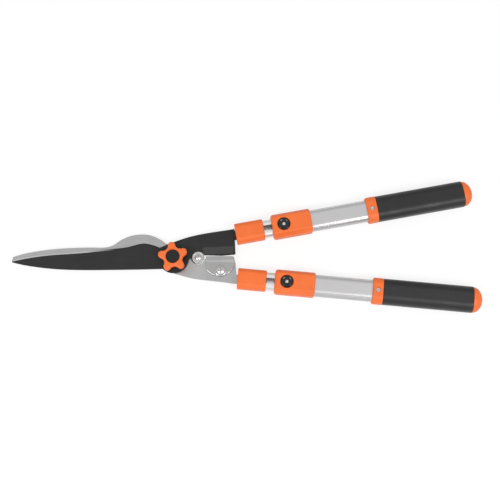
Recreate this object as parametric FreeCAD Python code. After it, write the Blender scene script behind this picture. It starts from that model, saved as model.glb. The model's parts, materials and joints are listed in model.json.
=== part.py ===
"""Telescopic wavy-blade hedge shears, closed, handles slid in.

Row frame, millimetres. The origin is on the pivot axis, on the flat outer face of the pivot
bolt's head, which is one of the faces that the closed shears lie on. +Z points up to the
tension knob, +X from the pivot to the handles, +Y to the coated blade's handle. Seen by the
user, who holds the handles with the knob up, that handle is the right one and the plain
blade's handle is the left one.
"""
import FreeCAD, Part
import math
import os

from FreeCAD import Vector

os.makedirs("parts", exist_ok=True)

# ---- driving dimensions ------------------------------------------------------------------
# heights above the surface that the shears lie on
SHEET = 3.0                      # thickness of both blades
BOLT_HEAD_HEIGHT = 4.5
BLADE_GAP = 0.1                  # running clearance between the blades
GRIND_WIDTH = 2.6                # bevel ground on the outer side of each cutting edge
GRIND_DEPTH = 1.9
GRIND_SECTIONS = 24
PLAIN_Z = BOLT_HEAD_HEIGHT       # underside of the plain blade
MATING_Z = PLAIN_Z + SHEET       # top of the plain blade, where the blades meet
COATED_Z = MATING_Z + BLADE_GAP
COATED_TOP = COATED_Z + SHEET
TANG_TOP = MATING_Z + SHEET      # top of the plain tang, past its ramp
HANDLE_Z = 14.4                  # middle of both handles

# plan layout
MIDLINE_Y = -2.65                # the handles mirror each other about this line
HANDLE_OFFSET = 20.1             # handle axis from the midline, at the pivot's X
HANDLE_ANGLE = 7.8               # degrees, each handle to the midline
BLADE_REACH = 235.5              # pivot to blade tips, along X
TANG_END = 90.4                  # X of the tangs' square ends

# pivot
BOLT_RADIUS = 4.0
BOLT_HEAD_RADIUS = 11.0
BOLT_FACE_RADIUS = 9.5
BOLT_TOP = 22.5
SQUARE_NECK = 8.0
HUB_RADIUS = 22.0
BUSH_RADIUS = 6.0
BUSH_FLANGE_RADIUS = 9.0
BUSH_FLANGE_HEIGHT = 0.8
RUNNING = 0.05                   # radial clearance of running fits
SPRING_WASHER_RADIUS = 8.5
SPRING_WASHER_HEIGHT = 1.4
FLAT_WASHER_RADIUS = 10.0
FLAT_WASHER_HEIGHT = 1.2

# tension knob
KNOB_RADIUS = 21.7
KNOB_VALLEY_RADIUS = 14.2
KNOB_LOBES = 5
KNOB_LOBE_TIP_RADIUS = 5.3
KNOB_REST_TURN = 4.8             # degrees, the first lobe past +Y
KNOB_HUB_RADIUS = 13.0
KNOB_HUB_HEIGHT = 1.5
KNOB_HEIGHT = 11.5
KNOB_CAP_RADIUS = 9.6
CAP_POCKET_RADIUS = 10.2
CAP_POCKET = 2.0
NUT_ACROSS_FLATS = 13.0
NUT_HEIGHT = 6.5
BUSH_TOP = COATED_TOP + BUSH_FLANGE_HEIGHT
SPRING_WASHER_Z = BUSH_TOP + RUNNING / 2
FLAT_WASHER_Z = SPRING_WASHER_Z + SPRING_WASHER_HEIGHT
KNOB_Z = FLAT_WASHER_Z + FLAT_WASHER_HEIGHT + RUNNING
KNOB_TOP = KNOB_Z + KNOB_HEIGHT

# closing stop
FLANGE_TOP_Y = 14.0              # the coated tang's flange slopes down between these two lines
FLANGE_LOW_Y = 3.4
FLANGE_DROP = 2.0
POST_X = 35.9
POST_Y = -1.0
POST_HEAD_RADIUS = 8.9
POST_SHANK_RADIUS = 3.0
POST_RIM = 1.5                   # height of the post's rimmed head, below its dome
POST_DOME_RADIUS = 5.2
POST_DOME = 2.4
POST_TAIL_RADIUS = 5.5
POST_TAIL = 1.5
BUMPER_X = POST_X - 0.8          # the bumper is set towards the coated tang
BUMPER_Y = POST_Y + 0.8
BUMPER_RADIUS = 9.6
STOP_GAP = 0.3                   # coated tang to bumper, closed
PLAIN_NOTCH_RADIUS = 9.7
RELIEF_END = 47.2                # X where the plain tang's relief beside the post ends
RELIEF_Y = -3.4
TAB_RADIUS = 7.5
RAMP_START = 23.9                # the plain tang climbs one thickness between these two X
RAMP_END = 46.4
POST_HEAD_Z = COATED_TOP + RUNNING

# bracket on the plain tang
BRACKET_TOP = TANG_TOP + 1.8
BRACKET_LIP = TANG_TOP + 2.4
BRACKET_ROLL = 1.3               # radius rolled along its round edge
ROLL_STEPS = 5
BRACKET_SEAT = 0.5               # raised seat of its screw
BRACKET_SEAT_RADIUS = 7.4
LIP_ANGLE = -2.3                 # degrees, the lip to X
BRACKET_SCREW = (67.9, -21.7)
BRACKET_SCREW_RADIUS = 3.0
BRACKET_SCREW_HEAD = 5.8
BRACKET_SCREW_DOME = 2.0

# handle stations, measured along the handle axis from the pivot's X
COATED_TANG_HALF = 9.7           # handle axis to the tang's outer edge, at its square end
PLAIN_TANG_HALF = 6.8
TONGUE_HALF_WIDTH = 6.75
TONGUE_END = 128.0
FERRULE_START = 93.0
FERRULE_END = 134.5
TUBE_START = 103.0
INNER_TUBE_END = 405.0
SLEEVE_START = 146.5
SLEEVE_END = 204.5
OUTER_TUBE_START = 176.0
COLLAR_START = 287.0
GRIP_START = 302.0
GRIP_END = 431.0
CAP_END = 445.0
BUTTON_STATION = 164.0
SLIDE_TRAVEL = 200.0

FERRULE_SCREWS = (110.0, 122.0)
SLOT_START = 126.0
PLUG_DEPTH = 20.0
PLUG_COLLAR = 7.0
SLEEVE_SCREW = 192.0

# handle sections: width across the handle, depth along Z
INNER_TUBE = (25.6, 17.0)
INNER_WALL = 1.6
OUTER_TUBE = (31.4, 20.0)
OUTER_WALL = 0.9
FERRULE = (30.0, 23.5)
SLEEVE_WIDTH = 34.8
SLEEVE_TOP = 31.0
SLEEVE_FLAT = 25.0               # width of the sleeve's flat top and bottom
SLEEVE_FLANK = 8.0               # height of its leaning flanks
COLLAR = (37.7, 28.8)
GRIP = (37.5, 28.2)
CAP = (37.2, 28.0)
PLUG_CLEARANCE = 0.1
SEAT = 0.05                      # gap between a part and the tube that it is fixed on
SLIP = 0.3                       # gap between the sleeve and the tube that slides in it
SLOT_WIDTH = 8.0
INNER_CORNER = 6.0               # corner radii of the two tubes
OUTER_CORNER = 8.0
FERRULE_CORNER = 8.0
COLLAR_CORNER = 11.0
GRIP_CORNER = 12.0
SCREW_RADIUS = 2.0
SCREW_HEAD_RADIUS = 3.7          # the four ferrule screws
SMALL_SCREW_RADIUS = 1.5         # the sleeve and collar screws
SLEEVE_SCREW_HEAD_RADIUS = 3.0
COLLAR_SCREW_HEAD_RADIUS = 2.8
COLLAR_SCREW_HEAD = 1.9
COLLAR_SOCKET = (2.4, 1.3)       # hexagon across its flats, and its depth
CAP_SPIGOT = 13.0

# lock button
BUTTON_RADIUS = 8.5
BUTTON_POCKET_RADIUS = 9.5
BUTTON_TOP = SLEEVE_TOP - 0.3
BUTTON_HEIGHT = 2.9
SLEEVE_FLOOR = 1.3               # sleeve wall left under the button
LUG_RADIUS = 3.7
LUG_HEIGHT = 4.6
STEM_RADIUS = 2.4
BUTTON_DISH = 0.6
BUTTON_BOSS_RADIUS = 3.8         # the spring's groove lies between these two radii
BUTTON_SKIRT_RADIUS = 6.8

SPRING_WIRE = 0.35
SPRING_RADIUS = 5.3
SPRING_TURNS = 2.5
SPRING_ROOF = BUTTON_TOP - 1.3   # inside of the button, where the spring pushes
POCKET_FLOOR = HANDLE_Z + INNER_TUBE[1] / 2 + SLIP + SLEEVE_FLOOR

# screws of the handles
FERRULE_BOTTOM = HANDLE_Z - FERRULE[1] / 2
FERRULE_SCREW_SEAT = FERRULE_BOTTOM + 2.2
SLEEVE_SCREW_SEAT = 2.4
COLLAR_SCREW = (COLLAR_START + GRIP_START) / 2
COLLAR_TOP = HANDLE_Z + COLLAR[1] / 2
COLLAR_SCREW_SEAT = COLLAR_TOP - 2.6

UP = Vector(0, 0, 1)


# ---- plain helpers -----------------------------------------------------------------------
def save(name, shape):
    """One STEP file per node."""
    shape.exportStep("parts/" + name + ".step")


def unit(vector):
    return vector * (1.0 / vector.Length)


def rounded_wire(corners, radius):
    """Closed wire through corner points, each corner rounded. radius is one value or a list."""
    count = len(corners)
    radii = radius if isinstance(radius, (list, tuple)) else [radius] * count
    stretches = []
    for index, corner in enumerate(corners):
        back = unit(corners[index - 1] - corner)
        ahead = unit(corners[(index + 1) % count] - corner)
        if radii[index] <= 0:
            stretches.append((corner, None, corner))
            continue
        half = back.getAngle(ahead) / 2
        reach = radii[index] / math.tan(half)
        middle = corner + unit(back + ahead) * (radii[index] / math.sin(half) - radii[index])
        stretches.append((corner + back * reach, middle, corner + ahead * reach))
    edges = []
    for index, (start, middle, end) in enumerate(stretches):
        if middle is not None:
            edges.append(Part.Arc(start, middle, end).toShape())
        following = stretches[(index + 1) % count][0]
        if (following - end).Length > 1e-6:
            edges.append(Part.makeLine(end, following))
    return Part.Wire(edges)


def smooth_edge(points):
    """A smooth curve through plan points."""
    curve = Part.BSplineCurve()
    curve.interpolate([Vector(x, y, 0) for x, y in points])
    return curve.toShape()


def plate(wire, low, high):
    """A plan outline made into a plate between two heights."""
    solid = Part.Face(wire).extrude(UP * (high - low))
    solid.translate(UP * low)
    return solid


def cylinder(radius, low, high, x=0.0, y=0.0):
    return Part.makeCylinder(radius, high - low, Vector(x, y, low))


def ring(outer, inner, low, high, x=0.0, y=0.0):
    return cylinder(outer, low, high, x, y).cut(cylinder(inner, low, high, x, y))


def block(x_span, y_span, z_span):
    corner = Vector(x_span[0], y_span[0], z_span[0])
    sizes = [span[1] - span[0] for span in (x_span, y_span, z_span)]
    return Part.makeBox(sizes[0], sizes[1], sizes[2], corner)


def turned(profile, x=0.0, y=0.0):
    """A solid of revolution about a vertical axis. profile holds (radius, height) corners."""
    points = [Vector(radius, 0, height) for radius, height in profile]
    face = Part.Face(Part.makePolygon(points + points[:1]))
    solid = face.revolve(Vector(0, 0, 0), UP, 360)
    solid.translate(Vector(x, y, 0))
    return solid


def hexagon(across_flats, low, high):
    circumradius = across_flats / math.sqrt(3)
    corners = [
        Vector(circumradius * math.cos(turn), circumradius * math.sin(turn), 0)
        for turn in (math.radians(60 * side) for side in range(6))
    ]
    return plate(Part.makePolygon(corners + corners[:1]), low, high)


def edges_at(shape, axis, value):
    """The edges that lie in one plane across an axis ("x" or "z")."""
    low, high = {"x": ("XMin", "XMax"), "z": ("ZMin", "ZMax")}[axis]
    return [
        edge
        for edge in shape.Edges
        if abs(getattr(edge.BoundBox, low) - value) < 1e-3
        and abs(getattr(edge.BoundBox, high) - value) < 1e-3
    ]


# ---- handle frame: X along the handle from the pivot's X, Y across it, Z from the row ------
def side_sign(side):
    return 1 if side == "right" else -1


def place_on_handle(shape, side):
    """Moves a shape from the handle frame to the row frame."""
    sign = side_sign(side)
    placed = shape.copy()
    placed.rotate(Vector(0, 0, 0), UP, sign * HANDLE_ANGLE)
    placed.translate(Vector(0, MIDLINE_Y + sign * HANDLE_OFFSET, 0))
    return placed


def handle_point(station, across, side):
    """A plan point of the handle frame in the row frame. across is positive outwards."""
    sign = side_sign(side)
    turn = math.radians(HANDLE_ANGLE)
    x = station * math.cos(turn) - across * math.sin(turn)
    y = station * math.sin(turn) + across * math.cos(turn)
    return Vector(x, MIDLINE_Y + sign * (HANDLE_OFFSET + y), 0)


def section_bar(size, radius, start, end):
    """A bar of rounded rectangular section along the handle, centred on the handle's middle."""
    half_width = size[0] / 2
    half_depth = size[1] / 2
    corners = [
        Vector(start, across * half_width, HANDLE_Z + up * half_depth)
        for across, up in ((1, 1), (-1, 1), (-1, -1), (1, -1))
    ]
    return Part.Face(rounded_wire(corners, radius)).extrude(Vector(end - start, 0, 0))


def grown(size, gap):
    return (size[0] + 2 * gap, size[1] + 2 * gap)


def arc_about(x, y, radius, start_degrees, end_degrees):
    """An arc's edge, from one direction to another by the short way through their mean."""
    def at(turn):
        angle = math.radians(turn)
        return Vector(x + radius * math.cos(angle), y + radius * math.sin(angle), 0)

    middle = (start_degrees + end_degrees) / 2
    return Part.Arc(at(start_degrees), at(middle), at(end_degrees)).toShape()


def joined(pieces):
    """A closed wire from edges in order, with straight edges across any gap between them."""
    edges = []
    ends = []
    for piece in pieces:
        if isinstance(piece, Vector):
            ends.append((piece, piece, None))
        else:
            ends.append((piece.firstVertex(True).Point, piece.lastVertex(True).Point, piece))
    for index, (first, last, edge) in enumerate(ends):
        if edge is not None:
            edges.append(edge)
        following = ends[(index + 1) % len(ends)][0]
        if (following - last).Length > 1e-4:
            edges.append(Part.makeLine(last, following))
    return Part.Wire(edges)


# ---- blades --------------------------------------------------------------------------------
def tongue_corners(side):
    """Plan corners of the tang's end and its tongue, from the outer edge round to the inner."""
    wide = COATED_TANG_HALF if side == "right" else PLAIN_TANG_HALF
    half = TONGUE_HALF_WIDTH
    shoulder = FERRULE_START - 0.5
    turn = math.radians(HANDLE_ANGLE)
    inner_root = (TANG_END - half * math.sin(turn)) / math.cos(turn)
    return (
        handle_point(FERRULE_START - 8.0, wide, side),
        handle_point(shoulder, wide, side),
        handle_point(shoulder, half, side),
        handle_point(TONGUE_END, half, side),
        handle_point(TONGUE_END, -half, side),
        handle_point(inner_root, -half, side),
    )


def screw_holes(side, radius, stations):
    """Upright holes on the handle's axis, in the row frame."""
    holes = [cylinder(radius, 0, HANDLE_Z, station) for station in stations]
    return place_on_handle(Part.makeCompound(holes), side)


def cutting_edge_coated():
    return smooth_edge([
        (-BLADE_REACH, 8.2), (-209, 12.4), (-180, 15.0), (-136, 16.1), (-99.6, 17.9),
        (-77.5, 18.7), (-62.4, 20.7), (-44.4, 24.1), (-32.2, 21.9), (-19.6, 16.5),
    ])


def coated_outline():
    """Plan of the coated blade. Its cutting edge looks to +Y."""
    outer_root, *tongue = tongue_corners("right")
    tang_top = smooth_edge([
        (-19.6, 16.5), (1.5, 24.1), (24.9, 30.8), (54.4, 35.6), (outer_root.x, outer_root.y),
    ])
    notch = arc_about(BUMPER_X, BUMPER_Y, BUMPER_RADIUS + STOP_GAP, 17, 178)
    hub = arc_about(0, 0, HUB_RADIUS, -9, -137)
    heel = hub.lastVertex(True).Point
    spine = smooth_edge([
        (heel.x, heel.y), (-61.8, -14.0), (-98.9, -12.8), (-135, -11.3), (-171.4, -8.3),
        (-201.7, -3.7), (-222, 0.7), (-BLADE_REACH, 4.6),
    ])
    return joined([
        cutting_edge_coated(), tang_top, *tongue, Vector(TANG_END, 2.7, 0),
        Vector(TANG_END - 1, 1.7, 0), Vector(70.7, 0.8, 0), notch, hub, spine,
    ])


def flange_slope():
    """The wedge taken off the coated tang's top along its inner edge."""
    start = POST_X + 7.0
    length = TANG_END - 2.0 - start
    low = COATED_TOP - FLANGE_DROP
    profile = [
        Vector(start, FLANGE_TOP_Y, COATED_TOP),
        Vector(start, FLANGE_TOP_Y, COATED_TOP + FLANGE_DROP),
        Vector(start, -FLANGE_TOP_Y, COATED_TOP + FLANGE_DROP),
        Vector(start, -FLANGE_TOP_Y, low),
        Vector(start, FLANGE_LOW_Y, low),
    ]
    return Part.Face(Part.makePolygon(profile + profile[:1])).extrude(Vector(length, 0, 0))


def coated_blade():
    """The coated blade: bush hole, and the flange along the tang rolled down to the bracket."""
    blade = plate(coated_outline(), COATED_Z, COATED_TOP)
    blade = blade.cut(grinding(cutting_edge_coated(), COATED_TOP, -1))
    blade = blade.cut(cylinder(BUSH_RADIUS + SEAT / 2, COATED_Z, COATED_TOP))
    blade = blade.cut(screw_holes("right", SCREW_RADIUS + SEAT / 2, FERRULE_SCREWS))
    return blade.cut(flange_slope())


def grinding(edge, face_z, inward):
    """What grinding takes off: a strip along a cutting edge, deepest at the edge itself.

    inward is 1 if the sheet lies to the left of the edge's direction, -1 if to the right.
    face_z is the face that is ground, at the top or the bottom of the sheet.
    """
    upward = 1 if face_z > MATING_Z else -1
    sections = []
    for point, along in edge_frames(edge):
        across = UP.cross(along) * inward
        foot = point + UP * face_z
        corners = [
            foot + across * GRIND_WIDTH,
            foot - across * 1.5 - UP * upward * GRIND_DEPTH * (1 + 1.5 / GRIND_WIDTH),
            foot - across * 1.5 + UP * upward,
            foot + across * GRIND_WIDTH + UP * upward,
        ]
        sections.append(Part.makePolygon(corners + corners[:1]))
    return Part.makeLoft(sections, True, False)


def edge_frames(edge):
    """Points evenly spread along an edge, a little past both ends, with its directions."""
    first, last = edge.FirstParameter, edge.LastParameter
    frames = []
    for step in range(GRIND_SECTIONS + 1):
        parameter = first + (last - first) * step / GRIND_SECTIONS
        along = unit(edge.tangentAt(parameter))
        frames.append((edge.valueAt(parameter), along))
    return frames


def cutting_edge_plain():
    return smooth_edge([
        (-22, -9.0), (-32, -1.0), (-46, 3.5), (-60, 1.5), (-76, -4.5), (-92, -7.0),
        (-120, -6.6), (-150, -5.0), (-180, -2.0), (-207, 2.4), (-BLADE_REACH, 8.4),
    ])


def plain_outline():
    """Plan of the plain blade without its stop tab. Its cutting edge looks to -Y."""
    spine = smooth_edge([
        (-BLADE_REACH, 12.7), (-217, 17.3), (-195, 20.4), (-166, 22.3), (-136.6, 22.4),
        (-114.4, 21.5), (-99.2, 21.1), (-89.2, 23.4), (-78.3, 30.1), (-63.2, 36.4),
        (-50.1, 38.1), (-36.9, 37.2), (-26.7, 33.7), (-10.8, 22.9),
    ])
    outer_root, *tongue = tongue_corners("left")
    tang_bottom = smooth_edge([
        (outer_root.x, outer_root.y), (63.4, -37.4), (46, -34.7), (28.7, -31.2),
        (11.1, -26.0), (-3, -20.8), (-13.3, -16.6),
    ])
    return joined([
        spine, Vector(6, 18, 0), Vector(18, 10, 0), Vector(RAMP_START - 1, 2.4, 0),
        Vector(RAMP_START + 2.5, POST_Y + 1.0, 0), Vector(RELIEF_END, -0.5, 0),
        Vector(TANG_END - 3.9, -2.1, 0), Vector(TANG_END - 1.9, -5.2, 0),
        Vector(TANG_END - 0.4, -11.6, 0),
        *reversed(tongue), tang_bottom, cutting_edge_plain(),
    ])


def bent_sheet():
    """The side view of the plain blade: its tang climbs by one thickness past the hub."""
    bend_shift = 0.2
    reach = TONGUE_END + 10
    profile = [
        (-BLADE_REACH - 5, PLAIN_Z), (RAMP_START + bend_shift, PLAIN_Z),
        (RAMP_END + bend_shift, MATING_Z), (reach, MATING_Z), (reach, TANG_TOP),
        (RAMP_END, TANG_TOP), (RAMP_START, MATING_Z), (-BLADE_REACH - 5, MATING_Z),
    ]
    corners = [Vector(x, -80, z) for x, z in profile]
    return Part.Face(Part.makePolygon(corners + corners[:1])).extrude(Vector(0, 160, 0))


def plain_blade():
    """The plain blade. A flat tab lanced out of its ramp carries the closing stop."""
    blade = plate(plain_outline(), 0, HANDLE_Z).common(bent_sheet())
    blade = blade.cut(grinding(cutting_edge_plain(), PLAIN_Z, -1))
    blade = blade.cut(block((RAMP_START - 0.6, POST_X), (POST_Y - 3, 30), (0, HANDLE_Z)))
    blade = blade.cut(cylinder(PLAIN_NOTCH_RADIUS, 0, HANDLE_Z, POST_X, POST_Y))
    blade = blade.cut(cylinder(BUMPER_RADIUS + STOP_GAP, 0, HANDLE_Z, BUMPER_X, BUMPER_Y))
    blade = blade.cut(block((POST_X, RELIEF_END), (RELIEF_Y, 30), (0, HANDLE_Z)))
    tab = block((18, POST_X), (POST_Y - TAB_RADIUS, POST_Y + TAB_RADIUS), (PLAIN_Z, MATING_Z))
    tab = tab.fuse(cylinder(TAB_RADIUS, PLAIN_Z, MATING_Z, POST_X, POST_Y))
    blade = blade.fuse(tab).removeSplitter()
    half_neck = SQUARE_NECK / 2 + SEAT
    blade = blade.cut(block((-half_neck, half_neck), (-half_neck, half_neck), (0, HANDLE_Z)))
    blade = blade.cut(cylinder(POST_SHANK_RADIUS + SEAT / 2, 0, HANDLE_Z, POST_X, POST_Y))
    blade = blade.cut(cylinder(BRACKET_SCREW_RADIUS + SEAT / 2, 0, HANDLE_Z, *BRACKET_SCREW))
    return blade.cut(screw_holes("left", SCREW_RADIUS + SEAT / 2, FERRULE_SCREWS))


# ---- pivot ---------------------------------------------------------------------------------
def pivot_bolt():
    """A flat round head, a square neck held by the plain blade, and a round shank."""
    chamfer = BOLT_HEAD_RADIUS - BOLT_FACE_RADIUS
    head = turned([
        (0, 0), (BOLT_FACE_RADIUS, 0), (BOLT_HEAD_RADIUS, chamfer),
        (BOLT_HEAD_RADIUS, BOLT_HEAD_HEIGHT), (0, BOLT_HEAD_HEIGHT),
    ])
    half_neck = SQUARE_NECK / 2
    neck = block((-half_neck, half_neck), (-half_neck, half_neck), (BOLT_HEAD_HEIGHT, MATING_Z))
    shank = turned([
        (0, MATING_Z), (BOLT_RADIUS, MATING_Z), (BOLT_RADIUS, BOLT_TOP - 1),
        (BOLT_RADIUS - 1, BOLT_TOP), (0, BOLT_TOP),
    ])
    return head.fuse([neck, shank]).removeSplitter()


def pivot_bush():
    """A flanged bush fixed in the coated blade. It turns on the bolt."""
    bore = BOLT_RADIUS + RUNNING
    return turned([
        (bore, COATED_Z), (BUSH_RADIUS, COATED_Z), (BUSH_RADIUS, COATED_TOP),
        (BUSH_FLANGE_RADIUS, COATED_TOP), (BUSH_FLANGE_RADIUS, BUSH_TOP), (bore, BUSH_TOP),
    ])


def spring_washer():
    """A coned washer that keeps the blades pressed together."""
    thickness = 0.8
    bore = BOLT_RADIUS + 0.2
    top = SPRING_WASHER_Z + SPRING_WASHER_HEIGHT
    return turned([
        (SPRING_WASHER_RADIUS, SPRING_WASHER_Z), (SPRING_WASHER_RADIUS, SPRING_WASHER_Z + thickness),
        (bore, top), (bore, top - thickness),
    ])


def flat_washer():
    return ring(
        FLAT_WASHER_RADIUS, BOLT_RADIUS + 0.2, FLAT_WASHER_Z, FLAT_WASHER_Z + FLAT_WASHER_HEIGHT
    )


def star_outline():
    """Round lobes joined by round valleys, tangent to each other."""
    lobe_centre = KNOB_RADIUS - KNOB_LOBE_TIP_RADIUS
    half_pitch = math.pi / KNOB_LOBES
    cosine = math.cos(half_pitch)
    # the valley circle touches both lobe circles and the circle of KNOB_VALLEY_RADIUS
    known = (
        lobe_centre**2 + KNOB_VALLEY_RADIUS**2
        - 2 * lobe_centre * KNOB_VALLEY_RADIUS * cosine - KNOB_LOBE_TIP_RADIUS**2
    )
    valley = known / (2 * (KNOB_LOBE_TIP_RADIUS - KNOB_VALLEY_RADIUS + lobe_centre * cosine))
    valley_centre = KNOB_VALLEY_RADIUS + valley

    def at(radius, angle):
        return Vector(radius * math.cos(angle), radius * math.sin(angle), 0)

    edges = []
    for lobe in range(KNOB_LOBES):
        angle = math.radians(90 + KNOB_REST_TURN) + 2 * half_pitch * lobe
        centre = at(lobe_centre, angle)
        before = at(valley_centre, angle - half_pitch)
        after = at(valley_centre, angle + half_pitch)
        later = at(lobe_centre, angle + 2 * half_pitch)
        start = centre + unit(before - centre) * KNOB_LOBE_TIP_RADIUS
        end = centre + unit(after - centre) * KNOB_LOBE_TIP_RADIUS
        next_start = later + unit(after - later) * KNOB_LOBE_TIP_RADIUS
        edges.append(Part.Arc(start, at(KNOB_RADIUS, angle), end).toShape())
        middle = at(KNOB_VALLEY_RADIUS, angle + half_pitch)
        edges.append(Part.Arc(end, middle, next_start).toShape())
    return Part.Wire(edges)


def tension_knob():
    """The star knob, with a pocket for the nut below and one for the cap on top."""
    star = plate(star_outline(), KNOB_Z + KNOB_HUB_HEIGHT, KNOB_TOP)
    star = star.makeChamfer(1.5, edges_at(star, "z", KNOB_TOP))
    knob = star.fuse(cylinder(KNOB_HUB_RADIUS, KNOB_Z, KNOB_Z + KNOB_HUB_HEIGHT))
    knob = knob.removeSplitter()
    knob = knob.cut(hexagon(NUT_ACROSS_FLATS + 2 * SEAT, KNOB_Z, KNOB_Z + NUT_HEIGHT + 0.2))
    knob = knob.cut(cylinder(BOLT_RADIUS + 0.6, KNOB_Z, KNOB_TOP))
    return knob.cut(cylinder(CAP_POCKET_RADIUS, KNOB_TOP - CAP_POCKET, KNOB_TOP))


def knob_nut():
    nut = hexagon(NUT_ACROSS_FLATS, KNOB_Z + 0.1, KNOB_Z + 0.1 + NUT_HEIGHT)
    return nut.cut(cylinder(BOLT_RADIUS + RUNNING, KNOB_Z, KNOB_TOP))


def knob_cap():
    return turned([
        (0, KNOB_TOP - CAP_POCKET), (KNOB_CAP_RADIUS, KNOB_TOP - CAP_POCKET),
        (KNOB_CAP_RADIUS, KNOB_TOP - 0.8), (KNOB_CAP_RADIUS - 0.4, KNOB_TOP - 0.4),
        (0, KNOB_TOP - 0.4),
    ])


# ---- closing stop --------------------------------------------------------------------------
def dome(radius, low, rise, x, y):
    """The cap of a ball, standing on a circle."""
    ball = (radius**2 + rise**2) / (2 * rise)
    sphere = Part.makeSphere(ball, Vector(x, y, low + rise - ball))
    return sphere.common(cylinder(radius, low, low + rise, x, y))


def cross_recess(length, width, depth, top, x, y, turn=0.0):
    """The cross that a driver fits, cut down from top."""
    half, thin = length / 2, width / 2
    bars = block((-half, half), (-thin, thin), (top - depth, top + depth)).fuse(
        block((-thin, thin), (-half, half), (top - depth, top + depth))
    )
    bars.rotate(Vector(0, 0, 0), UP, turn)
    bars.translate(Vector(x, y, 0))
    return bars


def stop_post():
    """A screw with a rimmed, domed head above the bumper, closed under the plain blade's tab."""
    x, y = POST_X, POST_Y
    rim_top = POST_HEAD_Z + POST_RIM
    seat = rim_top - 0.3
    head = turned([
        (0, POST_HEAD_Z), (POST_HEAD_RADIUS, POST_HEAD_Z), (POST_HEAD_RADIUS, rim_top - 0.6),
        (POST_HEAD_RADIUS - 0.6, rim_top), (POST_HEAD_RADIUS - 1.6, rim_top),
        (POST_HEAD_RADIUS - 1.9, seat), (0, seat),
    ], x, y)
    cap = dome(POST_DOME_RADIUS, seat, POST_DOME, x, y)
    shank = cylinder(POST_SHANK_RADIUS, PLAIN_Z, POST_HEAD_Z, x, y)
    tail = cylinder(POST_TAIL_RADIUS, PLAIN_Z - POST_TAIL, PLAIN_Z, x, y)
    post = head.fuse([cap, shank, tail]).removeSplitter()
    return post.cut(cross_recess(3.6, 0.9, 1.0, seat + POST_DOME, x, y, 8))


def stop_bumper():
    """The rubber ring that the coated tang's notch closes on."""
    low = MATING_Z + RUNNING / 2
    high = POST_HEAD_Z - RUNNING / 2
    body = cylinder(BUMPER_RADIUS, low, high, BUMPER_X, BUMPER_Y)
    return body.cut(cylinder(POST_SHANK_RADIUS + SEAT, low, high, POST_X, POST_Y))


def rolled_off(centre, radius):
    """What rolling takes off the bracket's round edge, where the plate lies below its lip."""
    turns = [math.radians(90 * step / ROLL_STEPS) for step in range(ROLL_STEPS + 1)]
    low, inner = BRACKET_TOP - BRACKET_ROLL, radius - BRACKET_ROLL
    profile = [(radius + 2, low)]
    profile += [
        (inner + BRACKET_ROLL * math.cos(turn), low + BRACKET_ROLL * math.sin(turn))
        for turn in turns
    ]
    profile += [(inner, BRACKET_TOP + 1), (radius + 2, BRACKET_TOP + 1)]
    rim = turned(profile, centre.x, centre.y)
    return rim.common(block((0, TANG_END + 10), (-50, -12.0), (0, 50)))


def stop_bracket():
    """The D-shaped plate on the plain tang: a low lip, a rolled round edge, a raised seat."""
    start = Vector(RELIEF_END + 0.2, 0.3, 0)
    lip_width, ramp_end, reach = 5.5, 9.0, 36.0
    arc = Part.Arc(Vector(89, -12.9, 0), Vector(70, -29.7, 0), Vector(46.6, -18.4, 0)).toShape()
    outline = joined([start, Vector(86.5, -1.3, 0), Vector(88.4, -3.4, 0), arc])
    profile = [
        (0.5, TANG_TOP), (0.5, BRACKET_LIP), (-lip_width, BRACKET_LIP), (-ramp_end, BRACKET_TOP),
        (-reach, BRACKET_TOP), (-reach, TANG_TOP),
    ]
    corners = [Vector(-10, y, z) for y, z in profile]
    stepped = Part.Face(Part.makePolygon(corners + corners[:1])).extrude(Vector(70, 0, 0))
    stepped.rotate(Vector(0, 0, 0), UP, LIP_ANGLE)
    stepped.translate(start)
    bracket = plate(outline, TANG_TOP, BRACKET_LIP + 1).common(stepped)
    bracket = bracket.cut(rolled_off(arc.Curve.Center, arc.Curve.Radius))
    seat = Part.makeCone(
        BRACKET_SEAT_RADIUS + 1, BRACKET_SEAT_RADIUS, BRACKET_SEAT,
        Vector(*BRACKET_SCREW, BRACKET_TOP),
    )
    bracket = bracket.fuse(seat).removeSplitter()
    return bracket.cut(cylinder(BRACKET_SCREW_RADIUS + SEAT / 2, 0, 20, *BRACKET_SCREW))


def bracket_screw():
    x, y = BRACKET_SCREW
    seat = BRACKET_TOP + BRACKET_SEAT
    cap = dome(BRACKET_SCREW_HEAD, seat, BRACKET_SCREW_DOME, x, y)
    shank = cylinder(BRACKET_SCREW_RADIUS, MATING_Z - 1.0, seat, x, y)
    screw = cap.fuse(shank).removeSplitter()
    return screw.cut(cross_recess(7.6, 1.2, 1.3, seat + BRACKET_SCREW_DOME, x, y, 4))


# ---- handles, in the handle frame ------------------------------------------------------------
def ferrule():
    """The orange socket that holds the inner tube on the tang's tongue."""
    body = section_bar(FERRULE, FERRULE_CORNER, FERRULE_START, FERRULE_END)
    body = body.makeFillet(1.0, edges_at(body, "x", FERRULE_START))
    body = body.makeFillet(2.2, edges_at(body, "x", FERRULE_END))
    pocket = section_bar(
        grown(INNER_TUBE, SEAT), INNER_CORNER + SEAT, TUBE_START - SEAT, FERRULE_END + 1
    )
    half = TONGUE_HALF_WIDTH + 0.15
    mouth = block((FERRULE_START - 1, TUBE_START), (-half, half), (MATING_Z - 0.1, COATED_TOP + 0.1))
    body = body.cut(pocket).cut(mouth)
    for station in FERRULE_SCREWS:
        body = body.cut(cylinder(SCREW_RADIUS + SEAT, 0, HANDLE_Z, station))
        body = body.cut(cylinder(SCREW_HEAD_RADIUS + 0.2, 0, FERRULE_SCREW_SEAT, station))
    return body


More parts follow.
